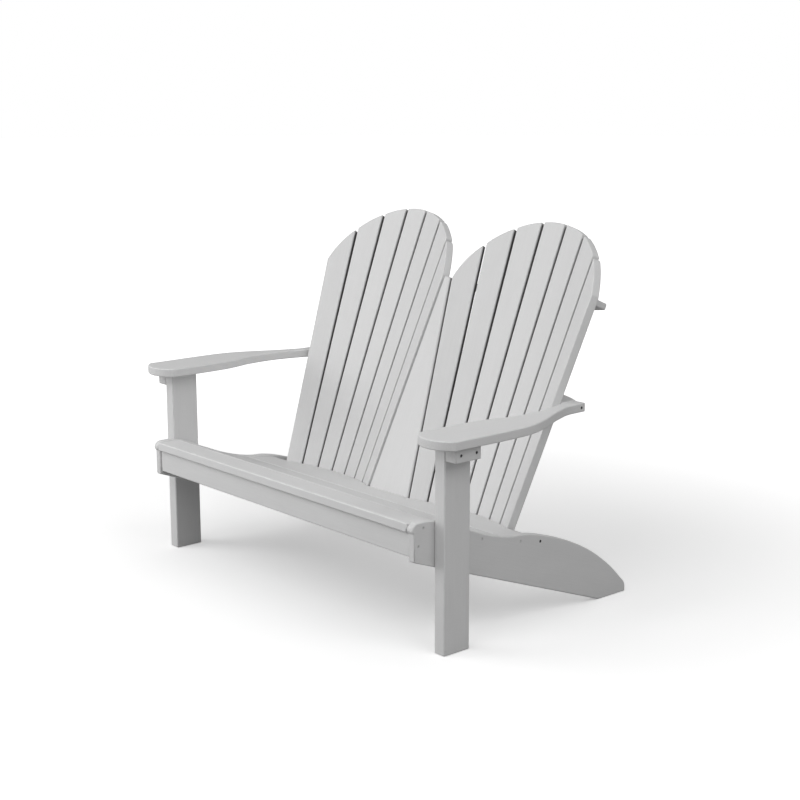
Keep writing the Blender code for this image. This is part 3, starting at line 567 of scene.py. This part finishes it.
@dataclass
class Workshop:
    """Copies packed boards, rounds their edges and gives them their finish."""

    rounding: EdgeRounding
    chance: random.Random
    hole_reach: float = 0.0065  # edges this near a screw's axis belong to its hole
    weld: float = 0.00001
    flat: float = math.radians(0.4)
    scatter: float = 40.0  # how far the grain may move between boards

    def __post_init__(self) -> None:
        """Finds the screws' axes, which all lie along X."""
        boxes = [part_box(name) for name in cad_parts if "screw" in name]
        self.holes = [(low + high).yz / 2 for low, high in boxes]

    def in_hole(self, edge: bmesh.types.BMEdge) -> bool:
        """Whether both ends of an edge are close to one screw's axis."""
        return any(all((vert.co.yz - hole).length < self.hole_reach for vert in edge.verts) for hole in self.holes)

    def copy(self, board: Board) -> bpy.types.Object:
        """Copies a packed board and merges its loose triangles into whole faces.

        Args:
            board: The board.

        Returns:
            The new piece, with its rounding still a modifier.
        """
        shape = bmesh.new()
        shape.from_mesh(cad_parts[board.name].data)
        bmesh.ops.remove_doubles(shape, verts=shape.verts, dist=self.weld)
        bmesh.ops.dissolve_limit(
            shape, angle_limit=self.flat, verts=shape.verts, edges=shape.edges, use_dissolve_boundaries=False
        )
        slivers = self.rounding.narrow_faces(shape, 2.0 * self.rounding.width, self.rounding.curve)
        weights = shape.edges.layers.float.new("bevel_weight_edge")
        for edge in shape.edges:
            if edge.calc_face_angle(0) < self.rounding.sharp or slivers.intersection(edge.link_faces):
                continue
            if not self.in_hole(edge):
                edge[weights] = 1.0
        for face in shape.faces:
            face.smooth = True
        mesh = bpy.data.meshes.new("dressed_" + board.name)
        shape.to_mesh(mesh)
        shape.free()
        piece = new_object(mesh.name, mesh)
        bevel = piece.modifiers.new("rounding", "BEVEL")
        bevel.width = self.rounding.width
        bevel.segments = self.rounding.segments
        bevel.limit_method = "WEIGHT"
        bevel.use_clamp_overlap = False
        bevel.loop_slide = False
        return piece

    def shift(self) -> Vector:
        """A random move of the grain, so that no two boards look alike."""
        return Vector([self.chance.uniform(0.0, self.scatter) for _ in range(3)])

    def dress(self, board: Board, finish: bpy.types.Material) -> bpy.types.Object:
        """Makes one finished board.

        Args:
            board: The board.
            finish: Its material.

        Returns:
            The finished piece.
        """
        piece = self.copy(board)
        soften(piece)
        settle(piece)
        axes = board.axes()
        self.rounding.mark(piece.data, axes[0])
        turned = Matrix(axes)
        shift = self.shift()
        store_vectors(piece.data, Mark.PLACE, [turned @ vert.co + shift for vert in piece.data.vertices])
        piece.data.materials.clear()
        piece.data.materials.append(finish)
        declare(piece, board.slot, [board.name])
        return piece

    def dress_all(self, boards: list[Board], finishes: dict[Slot, bpy.types.Material]) -> None:
        """Makes finished boards, each in the finish of its slot."""
        for board in boards:
            self.dress(board, finishes[board.slot])


@dataclass
class SideFrames:
    """Legs, the blocks that widen them, the curved stringers and the arms."""

    workshop: Workshop
    stringer_slope: float = math.radians(19.5)

    def boards(self) -> list[Board]:
        """The boards of both ends."""
        slope = (0.0, math.cos(self.stringer_slope), -math.sin(self.stringer_slope))
        made = []
        for side in Side:
            made.append(Board("leg_" + side.word, Slot.FRAME, (0, 0, 1), (1, 0, 0)))
            made.append(Board("arm_block_" + side.word, Slot.FRAME, (0, 1, 0), (1, 0, 0)))
            made.append(Board("stringer_" + side.word, Slot.FRAME, slope, (1, 0, 0)))
            made.append(Board("arm_" + side.word, Slot.ARM, (0, 1, 0), (0, 0, 1)))
        return made

    def build(self, finishes: dict[Slot, bpy.types.Material]) -> None:
        """Dresses them all in their finishes."""
        self.workshop.dress_all(self.boards(), finishes)


@dataclass
class Seat:
    """The four seat boards, the apron under their nose and the brace under their middle."""

    workshop: Workshop
    pitches: tuple[tuple[str, float], ...] = (("front", 2.0), ("second", 23.5), ("third", 17.5), ("rear", 8.5))

    def boards(self) -> list[Board]:
        """The boards of the seat, whose grain runs from end to end."""
        made = []
        for word, pitch in self.pitches:
            turn = math.radians(pitch)
            made.append(Board("seat_board_" + word, Slot.SEAT, (1, 0, 0), (0, math.sin(turn), math.cos(turn))))
        made.append(Board("apron", Slot.FRAME, (1, 0, 0), (0, 1, 0)))
        made.append(Board("seat_brace", Slot.FRAME, (0, 1, 0), (1, 0, 0)))
        return made

    def build(self, finishes: dict[Slot, bpy.types.Material]) -> None:
        """Dresses them all in their finishes."""
        self.workshop.dress_all(self.boards(), finishes)


@dataclass
class Backs:
    """The two fans of tapered slats, the wedge between them and the rails behind them.

    A fan stands in a frame that leans back with its middle slat. There X runs across, Y back and Z up that slat. Its
    slats lie around an arc at a lower and at an upper station, and an arc over them all rounds their tops.
    """

    workshop: Workshop
    slats: int = 7
    fan_spacing: float = 0.5919
    station_y: float = 0.1321
    station_z: float = 0.4000
    lean: float = math.radians(22.44)
    rise: float = 0.6490
    lower_radius: float = 0.4780
    upper_radius: float = 0.6180
    lower_width: float = 0.0602
    upper_width: float = 0.0796
    lower_seam: float = 0.0065
    upper_seam: float = 0.0092
    thickness: float = 0.0240
    tail: float = 0.2180
    arch_rise: float = 0.3980
    arch_radius: float = 0.2830
    top_points: int = 17
    rounding: float = 0.0030
    rounding_segments: int = 3
    rounding_angle: float = math.radians(45)
    wedge_lean: float = math.radians(20.705)
    sideways: float = 0.9  # a face is a side where this much of its normal runs across the board

    def fan_frame(self, side: Side) -> Matrix:
        """The leaning frame of one fan."""
        place = Vector((side.value * self.fan_spacing / 2, self.station_y, self.station_z))
        return Matrix.Translation(place) @ Matrix.Rotation(-self.lean, 4, "X")

    def slat_axes(self, place: float) -> tuple[Vector, Vector, Vector, Vector]:
        """Where a slat stands in its fan's frame.

        Args:
            place: The slat's number, counted from the middle one.

        Returns:
            The point on its face at the lower station, and its directions across, up and out of its face.
        """
        low = place * (self.lower_width + self.lower_seam) / self.lower_radius
        high = place * (self.upper_width + self.upper_seam) / self.upper_radius
        foot = Vector((math.sin(low), math.cos(low) - 1, 0)) * self.lower_radius
        head = Vector((math.sin(high), math.cos(high) - 1, 0)) * self.upper_radius + Vector((0, 0, self.rise))
        up = (head - foot).normalized()
        turn = (low + high) / 2
        across = Vector((math.cos(turn), -math.sin(turn), 0))
        across = (across - up * across.dot(up)).normalized()
        return foot, across, up, across.cross(up)

    def fan_graph(self, finish: bpy.types.Material) -> ShapeGraph:
        """The rule of the fans, as Geometry Nodes.

        Args:
            finish: Material of the slats.

        Returns:
            The tree, which makes both fans.
        """
        graph = ShapeGraph("fan_of_slats")
        count = graph.input("Slats", "Int", self.slats)

        def given(name: str) -> Value:
            """The input that carries the length or angle of this name."""
            return graph.input(name.replace("_", " ").title(), "Float", getattr(self, name))

        lower_radius, upper_radius = given("lower_radius"), given("upper_radius")
        lower_width, upper_width = given("lower_width"), given("upper_width")
        lower_seam, upper_seam = given("lower_seam"), given("upper_seam")
        rise, thickness, tail = given("rise"), given("thickness"), given("tail")
        arch_rise, arch_radius = given("arch_rise"), given("arch_radius")
        spacing, lean = given("fan_spacing"), given("lean")
        station_y, station_z = given("station_y"), given("station_z")

        # One box for each slat, all in the same place, numbered by the slat.
        box_size = {"Size": (2.0, 1.0, 1.0), "Vertices X": self.top_points, "Vertices Y": 2, "Vertices Z": 2}
        box = graph.add("GeometryNodeMeshCube", None, box_size).outputs["Mesh"]
        box = graph.add("GeometryNodeSetShadeSmooth", None, {"Geometry": box}).outputs[0]
        marks = graph.add("GeometryNodeMeshLine", None, {"Count": count, "Offset": (0.0, 0.0, 0.0)}).outputs[0]
        boxes = graph.add("GeometryNodeInstanceOnPoints", None, {"Points": marks, "Instance": box}).outputs[0]
        solid = graph.add("GeometryNodeRealizeInstances", None, {0: graph.number(boxes, Mark.SLAT)}).outputs[0]

        # Where the slat stands: its foot, its head and its three directions.
        place = Value(graph, graph.named(Mark.SLAT, "INT")) - (count - 1.0) / 2.0
        low = place * (lower_width + lower_seam) / lower_radius
        high = place * (upper_width + upper_seam) / upper_radius
        foot_x = lower_radius * low.sine()
        foot_y = lower_radius * (low.cosine() - 1.0)
        run_x = upper_radius * high.sine() - foot_x
        run_y = upper_radius * (high.cosine() - 1.0) - foot_y
        length = (run_x * run_x + run_y * run_y + rise * rise).root()
        up_x, up_y, up_z = run_x / length, run_y / length, rise / length
        turn = (low + high) / 2.0
        tilt = turn.cosine() * up_x - turn.sine() * up_y
        raw_x, raw_y, raw_z = turn.cosine() - up_x * tilt, -turn.sine() - up_y * tilt, -(up_z * tilt)
        size = (raw_x * raw_x + raw_y * raw_y + raw_z * raw_z).root()
        across_x, across_y, across_z = raw_x / size, raw_y / size, raw_z / size
        out_x = across_y * up_z - across_z * up_y
        out_y = across_z * up_x - across_x * up_z
        out_z = across_x * up_y - across_y * up_x

        # Where the arch cuts each line up the slat: the far root of a quadratic in the length along it.
        share, depth, height = graph.parts(graph.add("GeometryNodeInputPosition").outputs[0])
        half = lower_width / 2.0
        taper = (upper_width - lower_width) / 2.0 / length
        start_x = foot_x + share * half * across_x
        start_z = share * half * across_z - arch_rise
        step_x = share * taper * across_x + up_x
        step_z = share * taper * across_z + up_z
        square = step_x * step_x + step_z * step_z
        linear = start_x * step_x + start_z * step_z
        rest = start_x * start_x + start_z * start_z - arch_radius * arch_radius
        top = ((linear * linear - square * rest).root() - linear) / square
        bottom = -(tail / up_z)
        along = bottom + (height + 0.5) * (top - bottom)
        sideways = share * (half + taper * along)
        inwards = (depth + 0.5) * thickness
        moved = graph.joined(
            foot_x + across_x * sideways + up_x * along - out_x * inwards,
            foot_y + across_y * sideways + up_y * along - out_y * inwards,
            across_z * sideways + up_z * along - out_z * inwards,
        )
        fan = graph.add("GeometryNodeSetPosition", None, {"Geometry": solid, "Position": moved}).outputs[0]

        # Both fans, leaning back.
        first = graph.joined(spacing / -2.0, station_y, station_z)
        step = graph.joined(spacing, 0.0, 0.0)
        line = {"Count": 2, "Start Location": first, "Offset": step}
        ends = graph.add("GeometryNodeMeshLine", None, line).outputs[0]
        both = {"Points": ends, "Instance": fan, "Rotation": graph.joined(-lean, 0.0, 0.0)}
        fans = graph.add("GeometryNodeInstanceOnPoints", None, both).outputs[0]
        graph.end(graph.number(fans, Mark.FAN), finish)
        return graph

    def make_slats(self, finish: bpy.types.Material) -> None:
        """Makes the slats of both fans as one piece, in this material."""
        piece = new_object("dressed_back_slats", bpy.data.meshes.new("back_slats_start"))
        self.fan_graph(finish).apply_to(piece)
        bevel = piece.modifiers.new("rounding", "BEVEL")
        bevel.width = self.rounding
        bevel.segments = self.rounding_segments
        bevel.limit_method = "ANGLE"
        bevel.angle_limit = self.rounding_angle
        soften(piece)
        settle(piece)
        self.workshop.rounding.mark(piece.data, Vector(self.fan_frame(Side.LEFT).col[2][:3]))
        self.mark_slats(piece.data)
        nodes = [f"back_slat_{side.word}_{number + 1}" for side in Side for number in range(self.slats)]
        declare(piece, Slot.BACK, nodes)

    def slat_frames(self) -> dict[SlatNumber, Matrix]:
        """What turns the bench's coordinates into a slat's own, which run across it, up it and out of its face."""
        frames = {}
        for fan, side in enumerate(Side):
            for slat in range(self.slats):
                foot, *axes = self.slat_axes(slat - (self.slats - 1) / 2)
                turned = Matrix(axes).transposed().to_4x4()
                frames[fan, slat] = (self.fan_frame(side) @ Matrix.Translation(foot) @ turned).inverted()
        return frames

    def mark_slats(self, mesh: bpy.types.Mesh) -> None:
        """Gives every point its place on its own slat, and marks the sides that face another slat.

        Args:
            mesh: The finished slats of both fans.
        """
        fans = [self.fan_frame(side).inverted() for side in Side]
        frames = self.slat_frames()
        shifts = {number: self.workshop.shift() for number in frames}
        counts = ([part.value for part in mesh.attributes[mark.value].data] for mark in (Mark.FAN, Mark.SLAT))
        numbers = list(zip(*counts))
        places, depths, sides, heights = [], [], [], []
        corners: dict[tuple[SlatNumber, bool], tuple[float, float]] = {}
        for vert, number in zip(mesh.vertices, numbers):
            across, up, out = frames[number] @ vert.co
            places.append(Vector((up, across, out)) + shifts[number])
            depths.append(-out / self.thickness)
            leaning = fans[number[0]] @ vert.co
            heights.append(leaning.z)
            sides.append((number, across > 0))
            # A slat is widest where its side ends at the top.
            corners[sides[-1]] = max(corners.get(sides[-1], (0.0, 0.0)), (abs(across), leaning.x))
        covers = [self.arch_top(corners[side][1], side[1]) - height for side, height in zip(sides, heights)]
        seams = []
        for face in mesh.polygons:
            number = numbers[face.vertices[0]]
            sideways = (frames[number].to_3x3() @ face.normal).x
            is_last = number[1] == (self.slats - 1 if sideways > 0 else 0)
            seams.append(float(abs(sideways) > self.sideways and not is_last))
        store_vectors(mesh, Mark.PLACE, places)
        store(mesh, Mark.DEPTH, depths)
        store(mesh, Mark.COVER, covers)
        store(mesh, Mark.SEAM, seams, "FACE")

    def arch_top(self, corner: float, is_right: bool) -> float:
        """How high the arch cuts the slat beside a slat's upper corner.

        Args:
            corner: How far the corner is to the right of the fan's middle.
            is_right: Whether the corner is at the slat's right.

        Returns:
            The height in the fan's frame.
        """
        beside = corner + (self.upper_seam if is_right else -self.upper_seam)
        return self.arch_rise + math.sqrt(max(self.arch_radius**2 - beside**2, 0.0))

    def mark_wedge(self, mesh: bpy.types.Mesh, out: Vector) -> None:
        """Marks the wedge's two sides, which face the slats beside it all the way up.

        Args:
            mesh: The finished wedge.
            out: Direction out of its face.
        """
        heights = [vert.co.dot(out) for vert in mesh.vertices]
        store(mesh, Mark.DEPTH, [(max(heights) - height) / self.thickness for height in heights])
        store(mesh, Mark.COVER, [1.0] * len(heights))
        store(mesh, Mark.SEAM, [float(abs(face.normal.x) > self.sideways) for face in mesh.polygons], "FACE")

    def boards(self) -> list[Board]:
        """The wedge and the three rails."""
        up = (0.0, math.sin(self.wedge_lean), math.cos(self.wedge_lean))
        out = (0.0, -math.cos(self.wedge_lean), math.sin(self.wedge_lean))
        leaning = (0.0, math.sin(self.lean), math.cos(self.lean))
        return [
            Board("back_wedge", Slot.BACK, up, out),
            Board("lower_rail", Slot.RAIL, (1, 0, 0), leaning),
            Board("arm_rail", Slot.RAIL, (1, 0, 0), (0, 0, 1)),
            Board("upper_rail", Slot.RAIL, (1, 0, 0), leaning),
        ]

    def build(self, finishes: dict[Slot, bpy.types.Material]) -> None:
        """Makes the slats and dresses the wedge and the rails."""
        self.make_slats(finishes[Slot.BACK])
        wedge, *rails = self.boards()
        piece = self.workshop.dress(wedge, finishes[wedge.slot])
        self.mark_wedge(piece.data, Vector(wedge.face))
        self.workshop.dress_all(rails, finishes)


@dataclass
class Screws:
    """The screws that show: in the stringers, the blocks and the ends of the arms."""

    head_radius: float = 0.0041
    head_height: float = 0.0030
    head_crown: float = 0.0004
    shank_radius: float = 0.0022
    drive_width: float = 0.0034
    drive_depth: float = 0.0017
    sides: int = 24
    sharp: float = math.radians(38)
    painted: tuple[str, ...] = tuple(f"stringer_screw_{word}" for word in ("front", "apron", "third", "rear"))

    def rings(self, length: float) -> list[tuple[float, float, bool]]:
        """Side view of the screw from its middle outwards.

        Args:
            length: From the head's top to the tip.

        Returns:
            For each ring its radius, its depth under the top, and whether it is square like the driver.
        """
        drive = self.drive_width / 2
        return [
            (drive * 0.80, self.drive_depth, True),
            (drive, self.drive_depth * 0.75, True),
            (drive * 1.06, 0.0, True),
            (drive * 1.18, -self.head_crown * 0.3, True),
            (self.head_radius * 0.72, -self.head_crown * 0.2, False),
            (self.head_radius * 0.92, self.head_crown * 0.2, False),
            (self.head_radius, self.head_crown, False),
            (self.head_radius * 0.97, self.head_height * 0.30, False),
            (self.shank_radius, self.head_height, False),
            (self.shank_radius, length * 0.90, False),
            (self.shank_radius * 0.15, length, False),
        ]

    def pattern(self, length: float) -> bpy.types.Object:
        """One screw that points down -Z, with the top of its head at the origin.

        Args:
            length: From the head's top to the tip.

        Returns:
            The pattern, which the tree copies and which is removed afterwards.
        """
        shape = bmesh.new()
        rows = []
        for radius, depth, is_square in self.rings(length):
            row = []
            for step in range(self.sides):
                angle = math.tau * step / self.sides
                reach = radius / max(abs(math.cos(angle)), abs(math.sin(angle))) if is_square else radius
                row.append(shape.verts.new((reach * math.cos(angle), reach * math.sin(angle), -depth)))
            rows.append(row)
        for inner, outer in zip(rows, rows[1:]):
            for step in range(self.sides):
                after = (step + 1) % self.sides
                shape.faces.new((inner[step], outer[step], outer[after], inner[after]))
        shape.faces.new(rows[0])
        shape.faces.new(rows[-1])
        bmesh.ops.recalc_face_normals(shape, faces=shape.faces)
        mesh = bpy.data.meshes.new("screw_pattern")
        shape.to_mesh(mesh)
        shape.free()
        mesh.shade_smooth()
        mesh.set_sharp_from_angle(angle=self.sharp)
        store_vectors(mesh, Mark.SCREW_PLACE, [vert.co for vert in mesh.vertices])
        return new_object(mesh.name, mesh)

    def graph(self, pattern: bpy.types.Object, finish: bpy.types.Material) -> ShapeGraph:
        """Puts a screw on every point, turned to the point's direction and round its own axis at random.

        Args:
            pattern: The screw to copy.
            finish: Its material.

        Returns:
            The tree.
        """
        graph = ShapeGraph("screws_on_points")
        points = graph.input("Points", "Geometry", None)
        screw = graph.input("Screw", "Object", pattern)
        seed = graph.input("Seed", "Int", SEED)
        shape = graph.add("GeometryNodeObjectInfo", None, {"Object": screw}).outputs["Geometry"]
        facing = graph.named(Mark.FACING, "FLOAT_VECTOR")
        turned = graph.add("FunctionNodeAlignRotationToVector", {"axis": "Z"}, {"Vector": facing}).outputs[0]
        on_points = {"Points": points, "Instance": shape, "Rotation": turned}
        placed = graph.add("GeometryNodeInstanceOnPoints", None, on_points).outputs[0]
        spin = graph.add("FunctionNodeRandomValue", {"data_type": "FLOAT"}, {3: math.tau, "Seed": seed}).outputs[1]
        about = graph.joined(0.0, 0.0, Value(graph, spin))
        spun = graph.add("GeometryNodeRotateInstances", None, {"Instances": placed, "Rotation": about}).outputs[0]
        graph.end(spun, finish)
        return graph

    def heads(self) -> dict[float, dict[str, tuple[Vector, Vector]]]:
        """For each length of screw, the place of each packed screw's head and the way it faces."""
        found: dict[float, dict[str, tuple[Vector, Vector]]] = {}
        for name in sorted(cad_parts):
            if "screw" not in name:
                continue
            low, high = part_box(name)
            middle = (low + high) / 2
            outwards = math.copysign(1.0, middle.x)
            if name.startswith("leg_screw"):
                outwards = -outwards
            place = Vector((high.x if outwards > 0 else low.x, middle.y, middle.z))
            found.setdefault(round(high.x - low.x, 4), {})[name] = place, Vector((outwards, 0, 0))
        return found

    def build(self, finishes: dict[Slot, bpy.types.Material]) -> None:
        """Makes all the screws, in one piece for each length."""
        for number, (length, heads) in enumerate(sorted(self.heads().items()), start=1):
            pattern = self.pattern(length)
            places, facing = zip(*heads.values())
            points = bpy.data.meshes.new("screw_points")
            points.from_pydata(places, [], [])
            store_vectors(points, Mark.FACING, facing)
            store(points, Mark.PAINT, [float(name.startswith(self.painted)) for name in heads])
            piece = new_object(f"dressed_screws_{number}", points)
            self.graph(pattern, finishes[Slot.SCREW]).apply_to(piece)
            settle(piece)
            bpy.data.objects.remove(pattern, do_unlink=True)
            declare(piece, Slot.SCREW, list(heads))


def aimed(azimuth: float, elevation: float) -> Matrix:
    """How a lamp or a camera is turned that looks at the bench from one side.

    Args:
        azimuth: Degrees round the bench: 0 is in front of it and 90 at its right end.
        elevation: Degrees above the floor.

    Returns:
        The turn, as a matrix.
    """
    return Matrix.Rotation(math.radians(azimuth), 4, "Z") @ Matrix.Rotation(math.radians(90 - elevation), 4, "X")


@dataclass(frozen=True)
class Lamp:
    """A soft square lamp that is aimed at the bench."""

    name: str
    azimuth: float
    elevation: float
    size: float
    power: float
    distance: float = 5.0

    def build(self, middle: Triple) -> None:
        """Hangs the lamp, aimed at this place."""
        light = bpy.data.lights.new(self.name, "AREA")
        light.shape = "SQUARE"
        light.size = self.size
        light.energy = self.power
        lamp = new_object(self.name, light)
        back = Matrix.Translation((0.0, 0.0, self.distance))
        lamp.matrix_world = Matrix.Translation(middle) @ aimed(self.azimuth, self.elevation) @ back


@dataclass
class Studio:
    """The pale floor, the soft lamps, the white surroundings and the camera."""

    middle: Triple = (0.0, 0.0, 0.45)
    overhead: float = 0.46  # light from straight above
    horizon: float = 0.26  # light from all round, at floor level
    lamps: tuple[Lamp, ...] = (
        Lamp("key_lamp", 15.0, 48.0, 3.0, 58.0),
        Lamp("side_lamp", -38.0, 24.0, 3.0, 66.0),
        Lamp("right_lamp", 90.0, 40.0, 3.0, 54.0),
        Lamp("low_lamp", -45.0, 8.0, 3.0, 44.0),
    )
    floor_reach: float = 30.0
    floor_shown: float = 0.84  # how much light the floor sends to the camera
    floor_bounce: float = 0.40  # and to the bench
    floor_glow: float = 0.32  # what makes it white to the camera where no shadow lies
    fade_start: float = 0.7
    fade_end: float = 3.6
    camera_place: Triple = (3.3710, -2.8673, 1.4611)
    camera_azimuth: float = 49.006
    camera_elevation: float = 12.036
    camera_roll: float = -0.0971
    sensor: float = 36.0
    lens: float = 70.15

    def build_camera(self) -> None:
        """Stands the camera where the photograph was taken from."""
        camera = bpy.data.cameras.new("camera")
        camera.sensor_width = self.sensor
        camera.lens = self.lens
        stand = new_object("camera", camera)
        roll = Matrix.Rotation(math.radians(self.camera_roll), 4, "Z")
        turned = aimed(self.camera_azimuth, self.camera_elevation) @ roll
        stand.matrix_world = Matrix.Translation(self.camera_place) @ turned
        bpy.context.scene.camera = stand

    def build_world(self) -> None:
        """Makes the surroundings white to the camera and a soft light to the bench, mostly from above."""
        world = bpy.data.worlds.new("studio")
        world.use_nodes = True
        graph = NodeGraph(world.node_tree)
        background = world.node_tree.nodes["Background"]
        seen = Value(graph, graph.add("ShaderNodeLightPath").outputs["Is Camera Ray"])
        _, _, up = graph.parts(graph.add("ShaderNodeTexCoord").outputs["Generated"])
        soft = self.horizon + graph.math("MAXIMUM", up, 0.0) * (self.overhead - self.horizon)
        graph.supply(background.inputs["Strength"], soft + seen * (1.0 - soft))
        graph.supply(background.inputs["Color"], (1.0, 1.0, 1.0, 1.0))
        bpy.context.scene.world = world

    def floor_paper(self) -> bpy.types.Material:
        """Makes the floor's material.

        Returns:
            Pale paper that looks white where no shadow lies, and is plain white away from the bench.
        """
        graph = FinishGraph("floor_paper", (1.0, 1.0, 1.0))
        seen = Value(graph, graph.add("ShaderNodeLightPath").outputs["Is Camera Ray"])
        east, north, _ = graph.parts(graph.add("ShaderNodeNewGeometry").outputs["Position"])
        away = (east * east + north * north).root().above(self.fade_start, self.fade_end)
        pale = self.floor_bounce + seen * (self.floor_shown - self.floor_bounce)
        return graph.feed(
            {
                "Base Color": graph.joined(pale, pale, pale),
                "Emission Color": (1.0, 1.0, 1.0, 1.0),
                "Emission Strength": seen * (self.floor_glow + away * (1.0 - self.floor_glow)),
                "Roughness": 0.9,
                "Specular IOR Level": 0.0,
            }
        )

    def build_floor(self) -> None:
        """Lays a round floor under the bench."""
        shape = bmesh.new()
        bmesh.ops.create_circle(shape, cap_ends=True, segments=96, radius=self.floor_reach)
        mesh = bpy.data.meshes.new("studio_floor")
        shape.to_mesh(mesh)
        shape.free()
        floor = new_object("studio_floor", mesh)
        mesh.materials.append(self.floor_paper())

    def build(self) -> None:
        """Sets up the whole studio."""
        self.build_camera()
        self.build_world()
        self.build_floor()
        for lamp in self.lamps:
            lamp.build(self.middle)
        bpy.context.scene.view_settings.view_transform = "Standard"


def main() -> None:
    """Builds the bench, sub-assembly by sub-assembly, and the studio around it."""
    logging.basicConfig(level=logging.INFO, format="%(name)s: %(message)s", stream=sys.stdout)
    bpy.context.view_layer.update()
    finishes = {slot: LumberFinish(slot.value + "_lumber").material() for slot in Slot if slot is not Slot.SCREW}
    finishes[Slot.SCREW] = SteelFinish().material()
    workshop = Workshop(EdgeRounding(), random.Random(SEED))
    for assembly in (SideFrames(workshop), Seat(workshop), Backs(workshop), Screws()):
        assembly.build(finishes)
    Studio().build()


if __name__ == "__main__":
    main()
